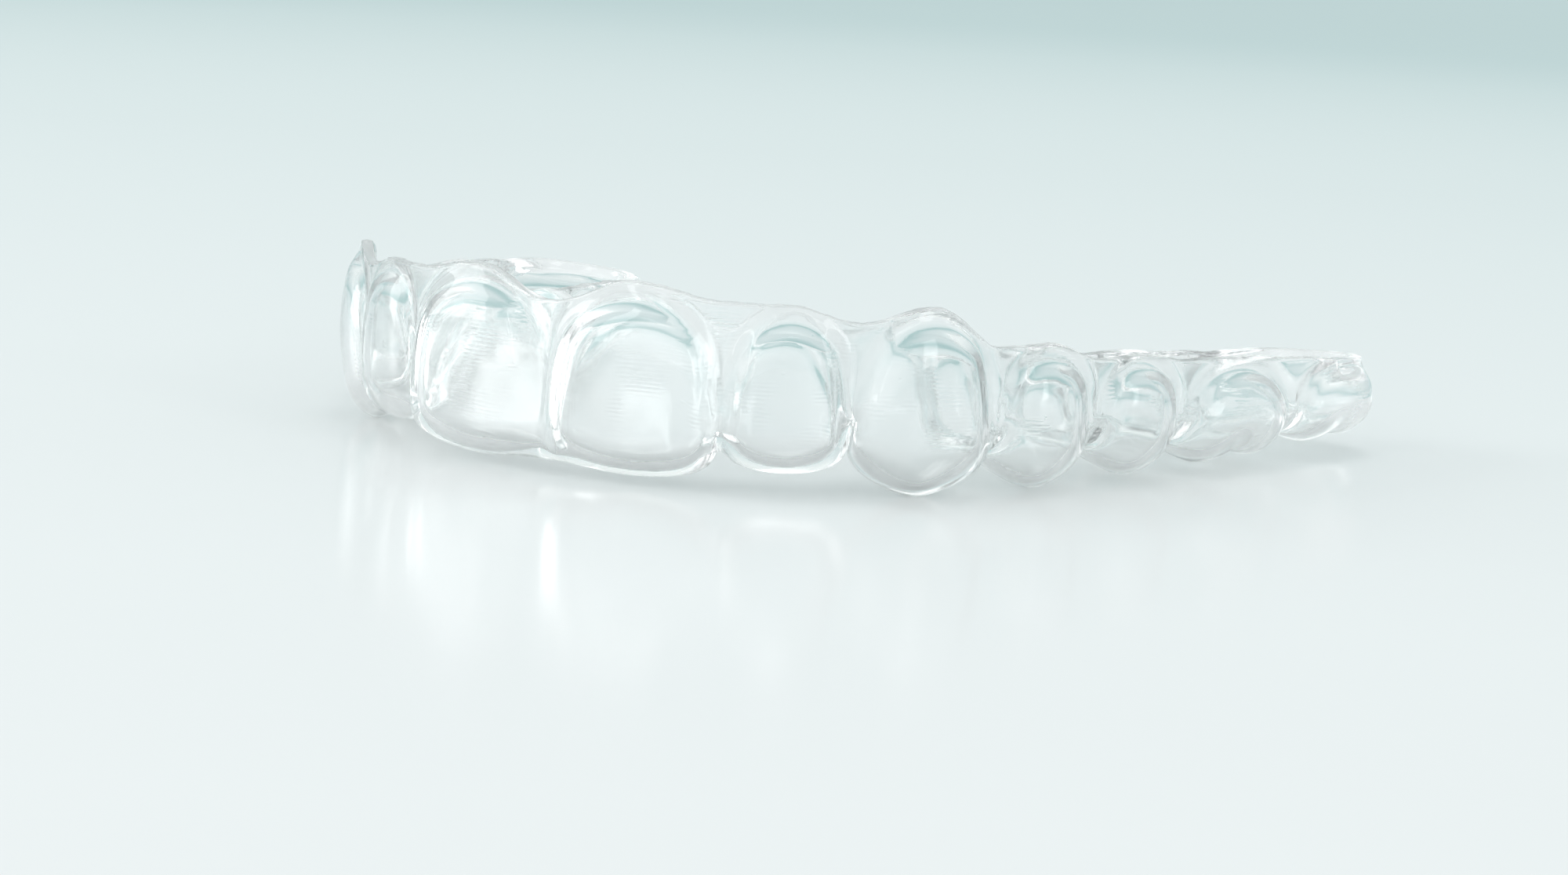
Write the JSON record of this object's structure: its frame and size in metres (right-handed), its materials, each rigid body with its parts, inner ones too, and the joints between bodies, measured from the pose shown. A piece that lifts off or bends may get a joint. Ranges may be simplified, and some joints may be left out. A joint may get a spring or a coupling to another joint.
{
  "type": "clear aligner",
  "caption": "Clear thermoformed dental aligner for an upper arch: one thin curved channel shaped over the crowns, with a wavy trimmed edge.",
  "frame": {"origin": "middle of the footprint, on the level of the lowest cusps, on the midline plane", "axes": "+X across the arch towards the wearer's left, -Y towards the front teeth, +Z towards the gum, which is the open side"},
  "size_m": [0.0602, 0.0474, 0.0106],
  "materials": {
    "clear_plastic": "clear and glossy, with the faintest green-blue cast"
  },
  "bodies": {
    "root": {"aligner_sheet": "clear_plastic"}
  },
  "joints": []
}
